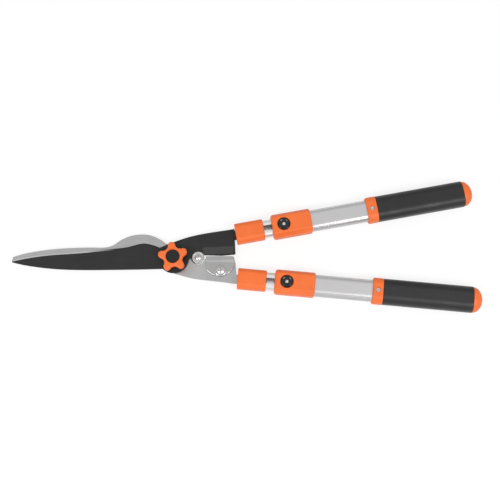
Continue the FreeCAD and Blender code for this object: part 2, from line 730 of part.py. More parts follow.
def ferrule_screws():
    """Two pan-head screws from below, through ferrule and tube into the tongue."""
    screws = []
    for station in FERRULE_SCREWS:
        head = cylinder(SCREW_HEAD_RADIUS, FERRULE_BOTTOM + 0.3, FERRULE_SCREW_SEAT, station)
        shank = cylinder(SCREW_RADIUS, FERRULE_SCREW_SEAT, MATING_Z + SHEET - 0.2, station)
        screw = head.fuse(shank).removeSplitter()
        bars = cross_recess(4.4, 1.0, 1.1, FERRULE_BOTTOM + 0.3, station, 0)
        screws.append(screw.cut(bars))
    return Part.makeCompound(screws)


def inner_tube():
    """The inner tube, with the slot that the lock pin rides in and two holes for screws."""
    tube = section_bar(INNER_TUBE, INNER_CORNER, TUBE_START, INNER_TUBE_END)
    hollow = grown(INNER_TUBE, -INNER_WALL)
    tube = tube.cut(section_bar(hollow, INNER_CORNER - INNER_WALL, TUBE_START - 1, INNER_TUBE_END + 1))
    half_slot = SLOT_WIDTH / 2
    slot_end = BUTTON_STATION + SLIDE_TRAVEL + half_slot + 1.0
    tops = (HANDLE_Z, HANDLE_Z + INNER_TUBE[1])
    tube = tube.cut(block((SLOT_START, slot_end - half_slot), (-half_slot, half_slot), tops))
    for station in (SLOT_START, slot_end - half_slot):
        tube = tube.cut(cylinder(half_slot, tops[0], tops[1], station))
    for station in FERRULE_SCREWS:
        tube = tube.cut(cylinder(SCREW_RADIUS + SEAT, 0, HANDLE_Z, station))
    return tube


def guide_plug():
    """Plastic plug in the inner tube's rear end. Its collar runs in the outer tube."""
    hollow = grown(INNER_TUBE, -INNER_WALL)
    plug = section_bar(
        grown(hollow, -SEAT), INNER_CORNER - INNER_WALL, INNER_TUBE_END - PLUG_DEPTH, INNER_TUBE_END
    )
    bore = grown(OUTER_TUBE, -OUTER_WALL - PLUG_CLEARANCE)
    corner = OUTER_CORNER - OUTER_WALL - PLUG_CLEARANCE
    collar = section_bar(bore, corner, INNER_TUBE_END, INNER_TUBE_END + PLUG_COLLAR)
    return plug.fuse(collar).removeSplitter()


def clamp_sleeve():
    """The orange sleeve on the outer tube's front end. It guides the inner tube."""
    half_flat = SLEEVE_FLAT / 2
    half_width = SLEEVE_WIDTH / 2
    profile = [
        (half_flat, SLEEVE_TOP), (-half_flat, SLEEVE_TOP),
        (-half_width, SLEEVE_TOP - SLEEVE_FLANK), (-half_width, SLEEVE_FLANK),
        (-half_flat, 0), (half_flat, 0),
        (half_width, SLEEVE_FLANK), (half_width, SLEEVE_TOP - SLEEVE_FLANK),
    ]
    corners = [Vector(SLEEVE_START, across, up) for across, up in profile]
    length = SLEEVE_END - SLEEVE_START
    body = Part.Face(rounded_wire(corners, 3.0)).extrude(Vector(length, 0, 0))
    body = body.makeFillet(4.0, edges_at(body, "x", SLEEVE_START))
    body = body.makeFillet(2.6, edges_at(body, "x", SLEEVE_END))
    front = section_bar(
        grown(INNER_TUBE, SLIP), INNER_CORNER + SLIP, SLEEVE_START - 1, OUTER_TUBE_START
    )
    rear = section_bar(
        grown(OUTER_TUBE, SEAT), OUTER_CORNER + SEAT, OUTER_TUBE_START - SEAT, SLEEVE_END + 1
    )
    body = body.cut(front).cut(rear)
    body = body.cut(cylinder(BUTTON_POCKET_RADIUS, POCKET_FLOOR, SLEEVE_TOP + 1, BUTTON_STATION))
    rim = turned([
        (0, SLEEVE_TOP - 0.5), (BUTTON_POCKET_RADIUS, SLEEVE_TOP - 0.5),
        (BUTTON_POCKET_RADIUS + 0.5, SLEEVE_TOP), (BUTTON_POCKET_RADIUS + 0.5, SLEEVE_TOP + 1),
        (0, SLEEVE_TOP + 1),
    ], BUTTON_STATION)
    body = body.cut(rim)
    body = body.cut(cylinder(STEM_RADIUS + 0.1, HANDLE_Z, SLEEVE_TOP, BUTTON_STATION))
    body = body.cut(cylinder(SLEEVE_SCREW_HEAD_RADIUS + 0.2, -1, SLEEVE_SCREW_SEAT, SLEEVE_SCREW))
    return body.cut(cylinder(SMALL_SCREW_RADIUS + 0.1, 0, HANDLE_Z, SLEEVE_SCREW))


def sleeve_screw():
    """A small screw from below that holds the sleeve to the outer tube."""
    tip = HANDLE_Z - OUTER_TUBE[1] / 2 + OUTER_WALL
    head = cylinder(SLEEVE_SCREW_HEAD_RADIUS, 0.5, SLEEVE_SCREW_SEAT, SLEEVE_SCREW)
    shank = cylinder(SMALL_SCREW_RADIUS, SLEEVE_SCREW_SEAT, tip, SLEEVE_SCREW)
    screw = head.fuse(shank).removeSplitter()
    return screw.cut(cross_recess(3.6, 0.8, 0.9, 0.5, SLEEVE_SCREW, 0))


def outer_tube():
    """The outer tube, with a shallow flute along each of its four shoulders."""
    tube = section_bar(OUTER_TUBE, OUTER_CORNER, OUTER_TUBE_START, GRIP_END)
    hollow = grown(OUTER_TUBE, -OUTER_WALL)
    corner = OUTER_CORNER - OUTER_WALL
    tube = tube.cut(section_bar(hollow, corner, OUTER_TUBE_START - 1, GRIP_END + 1))
    flute_radius, flute_reach = 0.8, OUTER_CORNER + 0.4
    lean = math.radians(36)
    across = OUTER_TUBE[0] / 2 - OUTER_CORNER + flute_reach * math.sin(lean)
    up = OUTER_TUBE[1] / 2 - OUTER_CORNER + flute_reach * math.cos(lean)
    for side in (1, -1):
        for face in (1, -1):
            foot = Vector(OUTER_TUBE_START - 1, side * across, HANDLE_Z + face * up)
            length = GRIP_END - OUTER_TUBE_START + 2
            tube = tube.cut(Part.makeCylinder(flute_radius, length, foot, Vector(1, 0, 0)))
    tube = tube.cut(cylinder(SMALL_SCREW_RADIUS + 0.1, HANDLE_Z, SLEEVE_TOP, COLLAR_SCREW))
    return tube.cut(cylinder(SMALL_SCREW_RADIUS + 0.1, 0, HANDLE_Z, SLEEVE_SCREW))


def collar():
    """The orange ring in front of the grip, with the sunk hole of its screw."""
    body = section_bar(COLLAR, COLLAR_CORNER, COLLAR_START, GRIP_START)
    body = body.makeFillet(2.8, edges_at(body, "x", COLLAR_START))
    body = body.makeFillet(0.8, edges_at(body, "x", GRIP_START))
    bore = section_bar(
        grown(OUTER_TUBE, SEAT), OUTER_CORNER + SEAT, COLLAR_START - 1, GRIP_START + 1
    )
    body = body.cut(bore)
    sink = COLLAR_SCREW_HEAD_RADIUS + 0.5
    body = body.cut(cylinder(sink, COLLAR_SCREW_SEAT, COLLAR_TOP + 1, COLLAR_SCREW))
    return body.cut(cylinder(SMALL_SCREW_RADIUS + 0.1, HANDLE_Z, COLLAR_TOP, COLLAR_SCREW))


def collar_screw():
    tip = HANDLE_Z + OUTER_TUBE[1] / 2 - OUTER_WALL + RUNNING
    head_top = COLLAR_SCREW_SEAT + COLLAR_SCREW_HEAD
    head = cylinder(COLLAR_SCREW_HEAD_RADIUS, COLLAR_SCREW_SEAT, head_top, COLLAR_SCREW)
    shank = cylinder(SMALL_SCREW_RADIUS, tip, COLLAR_SCREW_SEAT, COLLAR_SCREW)
    screw = head.fuse(shank).removeSplitter()
    socket = hexagon(COLLAR_SOCKET[0], head_top - COLLAR_SOCKET[1], head_top)
    socket.translate(Vector(COLLAR_SCREW, 0, 0))
    return screw.cut(socket)


def grip():
    """The dark sleeve that the hand holds."""
    body = section_bar(GRIP, GRIP_CORNER, GRIP_START, GRIP_END)
    for station in (GRIP_START, GRIP_END):
        body = body.makeFillet(1.2, edges_at(body, "x", station))
    bore = section_bar(grown(OUTER_TUBE, SEAT), OUTER_CORNER + SEAT, GRIP_START - 1, GRIP_END + 1)
    return body.cut(bore)


def end_cap():
    """The orange plug that closes the outer tube, half an ellipsoid outside it."""
    sections = []
    for degrees in (0, 15, 30, 45, 58, 70, 80, 86):
        turn = math.radians(degrees)
        middle = Vector(GRIP_END + (CAP_END - GRIP_END) * math.sin(turn), 0, HANDLE_Z)
        wide = middle + Vector(0, CAP[0] / 2 * math.cos(turn), 0)
        high = middle + Vector(0, 0, CAP[1] / 2 * math.cos(turn))
        sections.append(Part.Wire([Part.Ellipse(wide, high, middle).toShape()]))
    domed = Part.makeLoft(sections, True, False)
    hollow = grown(OUTER_TUBE, -OUTER_WALL - SEAT)
    spigot = section_bar(hollow, OUTER_CORNER - OUTER_WALL - SEAT, GRIP_END - CAP_SPIGOT, GRIP_END)
    return domed.fuse(spigot).removeSplitter()


# ---- lock ----------------------------------------------------------------------------------
def lock_button():
    """The dished black ring that the thumb presses, hollow below for the spring."""
    bottom = BUTTON_TOP - BUTTON_HEIGHT
    dish = BUTTON_TOP - BUTTON_DISH
    return turned([
        (STEM_RADIUS + 0.02, bottom), (BUTTON_BOSS_RADIUS, bottom),
        (BUTTON_BOSS_RADIUS, SPRING_ROOF), (BUTTON_SKIRT_RADIUS, SPRING_ROOF),
        (BUTTON_SKIRT_RADIUS, bottom), (BUTTON_RADIUS, bottom), (BUTTON_RADIUS, BUTTON_TOP - 0.9),
        (BUTTON_RADIUS - 0.9, BUTTON_TOP), (BUTTON_RADIUS - 1.5, BUTTON_TOP),
        (BUTTON_RADIUS - 2.6, dish), (STEM_RADIUS + 0.02, dish),
    ], BUTTON_STATION)


def lock_pin():
    """The steel pin: a stem through the button, and a lug that rides in the tube's slot."""
    lug_top = HANDLE_Z + INNER_TUBE[1] / 2 + SLIP - 0.1
    lug_bottom = lug_top - LUG_HEIGHT
    top = BUTTON_TOP - 0.1
    return turned([
        (0, lug_bottom), (LUG_RADIUS - 0.6, lug_bottom), (LUG_RADIUS, lug_bottom + 0.6),
        (LUG_RADIUS, lug_top), (STEM_RADIUS, lug_top), (STEM_RADIUS, top - 0.5),
        (STEM_RADIUS - 0.5, top), (0, top),
    ], BUTTON_STATION)


def lock_spring():
    low = POCKET_FLOOR + SPRING_WIRE
    height = SPRING_ROOF - SPRING_WIRE - low
    path = Part.makeLongHelix(height / SPRING_TURNS, height, SPRING_RADIUS)
    start = Part.makeCircle(SPRING_WIRE, Vector(SPRING_RADIUS, 0, 0), Vector(0, 1, 0))
    coil = Part.Wire(path).makePipeShell([Part.Wire(start)], True, True)
    coil.translate(Vector(BUTTON_STATION, 0, low))
    return coil


# ---- write the nodes ---------------------------------------------------------------------------
ROW_PARTS = {
    "plain_blade": plain_blade,
    "coated_blade": coated_blade,
    "pivot_bolt": pivot_bolt,
    "pivot_bush": pivot_bush,
    "spring_washer": spring_washer,
    "flat_washer": flat_washer,
    "tension_knob": tension_knob,
    "knob_nut": knob_nut,
    "knob_cap": knob_cap,
    "stop_post": stop_post,
    "stop_bumper": stop_bumper,
    "stop_bracket": stop_bracket,
    "bracket_screw": bracket_screw,
}
HANDLE_PARTS = {
    "ferrule": ferrule,
    "ferrule_screws": ferrule_screws,
    "inner_tube": inner_tube,
    "guide_plug": guide_plug,
    "clamp_sleeve": clamp_sleeve,
    "sleeve_screw": sleeve_screw,
    "outer_tube": outer_tube,
    "collar": collar,
    "collar_screw": collar_screw,
    "grip": grip,
    "end_cap": end_cap,
    "lock_button": lock_button,
    "lock_pin": lock_pin,
    "lock_spring": lock_spring,
}

for name, make in ROW_PARTS.items():
    save(name, make())
for name, make in HANDLE_PARTS.items():
    shape = make()
    for side in ("left", "right"):
        save(name + "_" + side, place_on_handle(shape, side))
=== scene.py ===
import json
import math

import bmesh
import bpy
from mathutils import Matrix, Vector


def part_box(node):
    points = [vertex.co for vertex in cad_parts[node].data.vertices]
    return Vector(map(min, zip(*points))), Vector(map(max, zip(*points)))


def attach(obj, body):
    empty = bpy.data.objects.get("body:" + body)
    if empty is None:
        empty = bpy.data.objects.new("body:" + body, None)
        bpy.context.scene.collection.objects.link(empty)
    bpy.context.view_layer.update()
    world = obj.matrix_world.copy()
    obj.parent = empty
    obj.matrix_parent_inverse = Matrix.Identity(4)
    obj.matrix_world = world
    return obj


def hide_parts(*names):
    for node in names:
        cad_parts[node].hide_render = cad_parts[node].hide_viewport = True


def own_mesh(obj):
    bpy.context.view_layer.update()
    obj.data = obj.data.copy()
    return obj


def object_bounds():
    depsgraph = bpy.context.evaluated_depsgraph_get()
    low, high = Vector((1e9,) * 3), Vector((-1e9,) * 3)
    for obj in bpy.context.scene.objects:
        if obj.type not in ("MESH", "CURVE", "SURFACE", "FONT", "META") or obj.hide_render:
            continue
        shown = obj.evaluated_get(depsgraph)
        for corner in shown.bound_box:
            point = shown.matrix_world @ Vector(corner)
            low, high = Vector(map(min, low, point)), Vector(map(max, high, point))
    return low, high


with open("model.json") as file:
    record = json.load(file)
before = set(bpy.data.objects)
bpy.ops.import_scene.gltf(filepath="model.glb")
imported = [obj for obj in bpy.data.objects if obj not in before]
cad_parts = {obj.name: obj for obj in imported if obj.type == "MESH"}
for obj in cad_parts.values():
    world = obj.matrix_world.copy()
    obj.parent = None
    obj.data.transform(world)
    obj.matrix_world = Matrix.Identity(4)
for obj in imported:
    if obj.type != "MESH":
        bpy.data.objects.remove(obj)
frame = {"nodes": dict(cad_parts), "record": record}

# Looks of the telescopic hedge shears. Metres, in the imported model's frame: +Z up to the
# tension knob, +X from the pivot to the handles, +Y to the coated blade's handle.
cad_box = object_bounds()
MM = 0.001
HANDLE_ANGLE = math.radians(7.8)     # each handle to the X axis


# ---- node trees ----------------------------------------------------------------------------
class Surface:
    """A material on one Principled shader, with short ways to add and join nodes."""

    def __init__(self, name, **settings):
        self.material = bpy.data.materials.new(name)
        self.material.use_nodes = True
        self.tree = self.material.node_tree
        self.shader = self.tree.nodes["Principled BSDF"]
        self.object_place = self.node("ShaderNodeTexCoord").outputs["Object"]
        for socket, value in settings.items():
            self.set(socket.replace("_", " "), value)

    def set(self, socket, value):
        """Gives one of the shader's inputs a plain value, or joins another node's output to it."""
        target = self.shader.inputs[socket]
        if isinstance(value, bpy.types.NodeSocket):
            self.tree.links.new(value, target)
        else:
            target.default_value = value

    def node(self, kind, inputs=None, **options):
        """A node with its options set and its inputs given as values or other nodes' outputs."""
        made = self.tree.nodes.new(kind)
        for option, value in options.items():
            setattr(made, option, value)
        for key, value in (inputs or {}).items():
            if isinstance(value, bpy.types.NodeSocket):
                self.tree.links.new(value, made.inputs[key])
            else:
                made.inputs[key].default_value = value
        return made

    def place(self, stretch=(1, 1, 1), turn=0.0, centre=(0, 0, 0)):
        """Object coordinates about centre, turned about Z and then stretched per axis."""
        moved = self.node(
            "ShaderNodeVectorMath", {0: self.object_place, 1: centre}, operation="SUBTRACT"
        ).outputs[0]
        turned = self.node(
            "ShaderNodeVectorRotate", {"Vector": moved, "Angle": -turn}, rotation_type="Z_AXIS"
        ).outputs[0]
        return self.node(
            "ShaderNodeVectorMath", {0: turned, 1: stretch}, operation="MULTIPLY"
        ).outputs[0]

    def noise(self, scale, place=None, detail=3.0, roughness=0.55):
        """Smooth noise from 0 to 1 with about scale waves to the metre."""
        inputs = {
            "Vector": place or self.object_place, "Scale": scale, "Detail": detail,
            "Roughness": roughness,
        }
        return self.node("ShaderNodeTexNoise", inputs).outputs["Fac"]

    def spread(self, value, low, high, start=0.0, end=1.0):
        """value, mapped from start..end to low..high and held between them."""
        inputs = {
            "Value": value, "From Min": start, "From Max": end, "To Min": low, "To Max": high,
        }
        return self.node("ShaderNodeMapRange", inputs).outputs[0]

    def maths(self, operation, first, second=0.0):
        """One step of arithmetic on numbers or outputs."""
        return self.node("ShaderNodeMath", {0: first, 1: second}, operation=operation).outputs[0]

    def blend(self, share, first, second, blend_type="MIX"):
        """first where share is 0, second where it is 1."""
        made = self.node(
            "ShaderNodeMix", data_type="RGBA", blend_type=blend_type, clamp_factor=True
        )
        for index, value in ((0, share), (6, first), (7, second)):
            if isinstance(value, bpy.types.NodeSocket):
                self.tree.links.new(value, made.inputs[index])
            else:
                made.inputs[index].default_value = value
        return made.outputs[2]

    def painted_corner_shade(self, colour, reach, share=0.6):
        """colour, darkened where other faces are closer than reach: painted shade in corners and
        gaps.
        """
        open_sky = self.node(
            "ShaderNodeAmbientOcclusion", {"Distance": reach}, samples=12
        ).outputs["AO"]
        shade_share = self.spread(open_sky, share, 0.0, 0.15, 0.85)
        return self.blend(shade_share, colour, CORNER_SHADE_COLOUR)

    def bump(self, height, depth, strength=1.0, edge=0.0):
        """Sets the shader's normal from a height of 0 to 1. edge rounds the sharp edges."""
        inputs = {"Height": height, "Distance": depth, "Strength": strength}
        if edge > 0:
            bevel = self.node("ShaderNodeBevel", {"Radius": edge}, samples=4)
            inputs["Normal"] = bevel.outputs[0]
        self.set("Normal", self.node("ShaderNodeBump", inputs).outputs[0])


def rgba(red, green, blue):
    """An opaque colour."""
    return (red, green, blue, 1.0)


# ---- materials -----------------------------------------------------------------------------
BEVEL_UPRIGHT = 0.81         # the upward share of the normal on the coated blade's ground bevel
FLANGE_DROP = 2.0 * MM       # how far its tang's flange slopes down, and over what width
FLANGE_WIDTH = 10.6 * MM
FLANGE_UPRIGHT = math.cos(math.atan2(FLANGE_DROP, FLANGE_WIDTH))
BARE_BEVEL_FADE = (-0.130, -0.085)   # X where the bare bevel fades into the coating
# Painted shade: the dark colour that corners and gaps are blended towards.
CORNER_SHADE_COLOUR = (0.035, 0.03, 0.028, 1.0)
ORANGE = rgba(0.76, 0.143, 0.024)
ORANGE_DEEP = rgba(0.71, 0.128, 0.019)


def orange_plastic():
    """Injection-moulded plastic: fine spark grain, faint flow clouds, a soft shine."""
    s = Surface("orange_moulding", IOR=1.46)
    clouds = s.spread(s.noise(60, detail=4), 0.0, 1.0, 0.35, 0.7)
    s.set("Base Color", s.blend(clouds, ORANGE_DEEP, ORANGE))
    grain = s.noise(4200, detail=2)
    s.set("Roughness", s.spread(s.noise(900), 0.40, 0.52))
    s.bump(grain, 0.03 * MM, 0.5, edge=0.35 * MM)
    return s.material


def coated_steel():
    """Dark non-stick coating with lengthwise rubbing marks, and painted light making the tang's
    flange greyer.

    It is ground away on the bevel of the blade's front half.
    """
    s = Surface("blade_coating", Specular_IOR_Level=0.42)
    rubbing = s.noise(28, s.place((1, 22, 22)), detail=5)
    clouds = s.noise(35, detail=3)
    shade = s.spread(s.maths("MULTIPLY", rubbing, clouds), 0, 1, 0.12, 0.42)
    coating = s.blend(shade, rgba(0.0045, 0.0045, 0.0050), rgba(0.0100, 0.0100, 0.0100))
    normal = s.node("ShaderNodeNewGeometry").outputs["True Normal"]
    upright = s.node("ShaderNodeSeparateXYZ", {0: normal}).outputs["Z"]
    along = s.node("ShaderNodeSeparateXYZ", {0: s.object_place}).outputs["X"]
    slope = s.maths("ABSOLUTE", s.maths("SUBTRACT", upright, BEVEL_UPRIGHT))
    bare = s.maths(
        "MULTIPLY", s.spread(slope, 1, 0, 0.04, 0.10), s.spread(along, 1, 0, *BARE_BEVEL_FADE)
    )
    steel = s.blend(rubbing, rgba(0.66, 0.66, 0.66), rgba(0.80, 0.80, 0.80))
    # Painted light: the sloping flange facet takes a greyer coating colour.
    flange = s.maths("ABSOLUTE", s.maths("SUBTRACT", upright, FLANGE_UPRIGHT))
    painted_flange_light = s.spread(flange, 1, 0, 0.005, 0.009)
    coating = s.blend(painted_flange_light, coating, rgba(0.021, 0.021, 0.021))
    s.set("Base Color", s.blend(bare, coating, steel))
    s.set("Metallic", bare)
    s.set("Roughness", s.spread(rubbing, 0.44, 0.54, 0.3, 0.7))
    s.bump(s.noise(3000, detail=2), 0.02 * MM, 0.5, edge=0.3 * MM)
    return s.material


def ground_steel(name="ground_steel", colour=(0.48, 0.48, 0.48), turn=0.0, roughness=0.29):
    """Bare sheet steel with grinding lines along one direction."""
    s = Surface(name, Metallic=1.0)
    lines = s.noise(45, s.place((1, 60, 60), turn), detail=3, roughness=0.65)
    clouds = s.noise(40, detail=3)
    bright = tuple(min(1.0, c * 1.12) for c in colour)
    dark = tuple(c * 0.86 for c in colour)
    skin = s.blend(s.spread(lines, 0, 1, 0.25, 0.75), rgba(*dark), rgba(*bright))
    # Painted shade: darker where other faces come close.
    s.set("Base Color", s.painted_corner_shade(skin, 2.5 * MM))
    s.set("Roughness", s.spread(clouds, roughness - 0.05, roughness + 0.08, 0.3, 0.7))
    s.bump(lines, 0.008 * MM, 0.3, edge=0.25 * MM)
    return s.material


def drawn_aluminium(name, turn, colour, roughness):
    """Drawn aluminium tube: die lines along the handle, and painted shade darkening its rounded
    sides.
    """
    s = Surface(name, Metallic=1.0)
    lines = s.noise(60, s.place((1, 40, 40), turn), detail=3, roughness=0.6)
    skin = s.noise(25, detail=2)
    normal = s.node("ShaderNodeNewGeometry").outputs["True Normal"]
    upright = s.node("ShaderNodeSeparateXYZ", {0: normal}).outputs["Z"]
    flat = s.spread(s.maths("ABSOLUTE", upright), 0.0, 1.0, 0.5, 0.93)
    bright, dark = rgba(*colour), rgba(*(c * 0.93 for c in colour))
    face = s.blend(s.spread(lines, 0, 1, 0.3, 0.7), dark, bright)
    # Painted shade: the rounded sides take a darker copy of the tube's colour.
    shaded_side_dark, shaded_side_bright = rgba(*(c * 0.72 for c in colour)), rgba(*(c * 0.8 for c in colour))
    side = s.blend(s.spread(lines, 0, 1, 0.3, 0.7), shaded_side_dark, shaded_side_bright)
    s.set("Base Color", s.blend(flat, side, face))
    s.set("Roughness", s.spread(skin, roughness - 0.015, roughness + 0.015, 0.3, 0.7))
    s.bump(lines, 0.004 * MM, 0.25, edge=0.2 * MM)
    return s.material


def turned_steel(name, centre, colour=(0.55, 0.55, 0.55), roughness=0.3, pitch=0.25 * MM):
    """Turned or spun metal: fine rings about an upright axis through centre."""
    s = Surface(name, Metallic=1.0)
    place = s.place((1, 1, 0), centre=centre)
    radius = s.node("ShaderNodeVectorMath", {0: place}, operation="LENGTH").outputs["Value"]
    rings = s.maths("SINE", s.maths("MULTIPLY", radius, 2 * math.pi / pitch))
    wear = s.noise(700, detail=3)
    skin = s.blend(s.spread(wear, 0, 1, 0.3, 0.7),
                   rgba(*(c * 0.88 for c in colour)), rgba(*colour))
    # Painted shade: darker where other faces come close.
    s.set("Base Color", s.painted_corner_shade(skin, 1.2 * MM, 0.6))
    s.set("Roughness", s.spread(wear, roughness - 0.05, roughness + 0.07, 0.3, 0.7))
    s.bump(s.spread(rings, 0, 1, -1, 1), 0.006 * MM, 0.5, edge=0.2 * MM)
    return s.material


def plated_steel(name="plated_steel", colour=(0.70, 0.70, 0.70), roughness=0.22):
    """Bright zinc plating with a faint crystalline mottle."""
    s = Surface(name, Metallic=1.0)
    mottle = s.noise(1500, detail=3)
    skin = s.blend(s.spread(mottle, 0, 1, 0.35, 0.65),
                   rgba(*(c * 0.9 for c in colour)), rgba(*colour))
    # Painted shade: darker where other faces come close.
    s.set("Base Color", s.painted_corner_shade(skin, 1.5 * MM, 0.95))
    s.set("Roughness", s.spread(mottle, roughness, roughness + 0.12, 0.3, 0.7))
    s.bump(mottle, 0.006 * MM, 0.4, edge=0.2 * MM)
    return s.material


def grip_rubber():
    """Soft dark grip: a fine leathery pebble and faint worn patches."""
    s = Surface("grip_rubber", Specular_IOR_Level=0.5, Sheen_Weight=0.08, Sheen_Roughness=0.45)
    pebble = s.node("ShaderNodeTexVoronoi", {
        "Vector": s.object_place, "Scale": 1500.0, "Randomness": 0.9,
    }, feature="SMOOTH_F1").outputs["Distance"]
    patches = s.spread(s.noise(45, detail=4), 0, 1, 0.35, 0.7)
    dark, pale = rgba(0.0040, 0.0040, 0.0040), rgba(0.0085, 0.0080, 0.0080)
    s.set("Base Color", s.blend(patches, dark, pale))
    s.set("Roughness", s.spread(patches, 0.50, 0.42))
    s.bump(pebble, 0.05 * MM, 0.5, edge=0.4 * MM)
    return s.material


def black_plastic(
    name="black_plastic", colour=(0.007, 0.007, 0.0065), roughness=0.33, gloss=0.35
):
    """Black moulded plastic with a faint grain."""
    s = Surface(name, Specular_IOR_Level=gloss)
    clouds = s.noise(300, detail=3)
    s.set("Base Color", s.blend(clouds, rgba(*(c * 0.7 for c in colour)), rgba(*colour)))
    s.set("Roughness", s.spread(clouds, roughness - 0.04, roughness + 0.06, 0.3, 0.7))
    s.bump(s.noise(3500, detail=2), 0.02 * MM, 0.3, edge=0.2 * MM)
    return s.material


def bumper_rubber():
    """Matt black rubber with a dusty bloom."""
    s = Surface("bumper_rubber", Specular_IOR_Level=0.3)
    bloom = s.noise(400, detail=4)
    s.set("Base Color", s.blend(bloom, rgba(0.010, 0.010, 0.010), rgba(0.030, 0.030, 0.030)))
    s.set("Roughness", s.spread(bloom, 0.7, 0.9))
    s.bump(s.noise(2500), 0.03 * MM, 0.5)
    return s.material


# ---- materials on the CAD nodes ---------------------------------------------------------------
def paint(node, material):
    """Puts one material on a CAD node."""
    for slot in frame["nodes"][node].material_slots:
        slot.material = material


def centre_of(node):
    """The middle of a CAD node's box."""
    low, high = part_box(node)
    return (low + high) / 2


def dress_frame():
    """Gives every CAD node its finished material."""
    steel = ground_steel()
    plated = plated_steel()
    rubber = grip_rubber()
    brass = plated_steel("bush_brass", (0.62, 0.45, 0.20), 0.3)
    nylon = black_plastic("guide_nylon", (0.03, 0.03, 0.03), 0.5)

    paint("coated_blade", coated_steel())
    paint("plain_blade", steel)
    paint("stop_bracket", ground_steel("bracket_steel", (0.44, 0.435, 0.435), roughness=0.30))
    paint("stop_post", turned_steel("post_steel", centre_of("stop_post"), (0.64, 0.64, 0.63)))
    paint("stop_bumper", bumper_rubber())
    paint("bracket_screw", plated)
    paint("pivot_bolt", turned_steel("bolt_steel", (0, 0, 0), (0.55, 0.55, 0.56)))
    paint("pivot_bush", brass)
    paint("spring_washer", spring_steel)
    paint("flat_washer", plated)
    paint("tension_knob", orange)
    paint("knob_nut", plated)
    paint("knob_cap", black)
    for side, sign in (("left", -1), ("right", 1)):
        turn = sign * HANDLE_ANGLE
        inner = drawn_aluminium("inner_aluminium_" + side, turn, (0.92, 0.90, 0.89), 0.28)
        outer = drawn_aluminium("outer_aluminium_" + side, turn, (0.66, 0.65, 0.655), 0.33)
        button_centre = centre_of("lock_button_" + side)
        materials = {
            "ferrule": orange, "ferrule_screws": plated, "inner_tube": inner,
            "guide_plug": nylon, "clamp_sleeve": orange, "sleeve_screw": plated,
            "outer_tube": outer, "collar": orange, "collar_screw": plated, "grip": rubber,
            "end_cap": orange, "lock_button": black, "lock_spring": spring_steel,
            "lock_pin": turned_steel("pin_steel_" + side, button_centre, (0.75, 0.74, 0.72), 0.2),
        }
        for node, material in materials.items():
            paint(node + "_" + side, material)


# ---- pieces that stand for CAD nodes -----------------------------------------------------------
KNOB_LOBES = 5
KNOB_LOBE_TIP = 5.3 * MM            # radius of a lobe's round end
KNOB_VALLEY = 7.52 * MM             # radius of the round hollow between two lobes
KNOB_VALLEY_CENTRE = 21.72 * MM     # its centre from the bolt's axis
KNOB_REST_TURN = math.radians(94.8)
KNOB_RIM = 2.2 * MM                 # radius that rounds its upper edge
KNOB_FOOT_RIM = 0.8 * MM
KNOB_BOLT_HOLE = 4.6 * MM           # radii about the bolt's axis, from the inside out
KNOB_NUT_POCKET = 7.7 * MM
KNOB_CAP_POCKET = 10.2 * MM
KNOB_HUB = 13.0 * MM
KNOB_NUT_DEPTH = 6.7 * MM
KNOB_CAP_DEPTH = 2.0 * MM
KNOB_FACE_DROP = 0.35 * MM          # the face below the top of the bead round the cap
KNOB_HUB_HEIGHT = 1.5 * MM
LOBE_STEPS = 24
VALLEY_STEPS = 14
BUTTON_STEM_HOLE = 2.42 * MM        # radii about the button's axis, from the inside out
BUTTON_BOSS = 3.8 * MM
BUTTON_SKIRT = 6.8 * MM
BUTTON_GROOVE = 1.6 * MM            # depth of the spring's groove between boss and skirt
BUTTON_RIM = 1.15 * MM
BUTTON_DISH = 0.6 * MM
BUTTON_STEPS = 72
SPRING_WIRE = 0.35 * MM             # radius of the lock spring's wire
SPRING_TURNS = 2.5
SPRING_STEPS = 32                   # round one turn
WIRE_SIDES = 10
SHARP_EDGE = math.radians(32)


def ring_mesh(name, rings, material, node, open_ended=False):
    """A skin through rings of points, each joined to the next.

    The last ring joins the first again, or with open_ended both are capped.
    """
    mesh = bpy.data.meshes.new(name)
    shape = bmesh.new()
    made = [[shape.verts.new(point) for point in ring] for ring in rings]
    count = len(made[0])
    for index in range(len(made) - open_ended):
        ring, after = made[index], made[(index + 1) % len(made)]
        for i in range(count):
            j = (i + 1) % count
            shape.faces.new((ring[i], ring[j], after[j], after[i]))
    if open_ended:
        shape.faces.new(made[0])
        shape.faces.new(made[-1])
    bmesh.ops.recalc_face_normals(shape, faces=shape.faces)
    shape.to_mesh(mesh)
    shape.free()
    mesh.polygons.foreach_set("use_smooth", [True] * len(mesh.polygons))
    mesh.set_sharp_from_angle(angle=SHARP_EDGE)
    mesh.materials.append(material)
    piece = bpy.data.objects.new(name, mesh)
    bpy.context.scene.collection.objects.link(piece)
    body = next(b for b, ns in frame["record"]["behaviour"]["bodies"].items() if node in ns)
    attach(piece, body)
    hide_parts(node)
    return piece


def round_over(radius, steps=6):
    """Steps of a quarter round, as shares of its radius: inset from the side, drop from the top."""
    turns = [math.pi / 2 * step / steps for step in range(steps + 1)]
    return [(radius * (1 - math.sin(t)), radius * (1 - math.cos(t))) for t in turns]


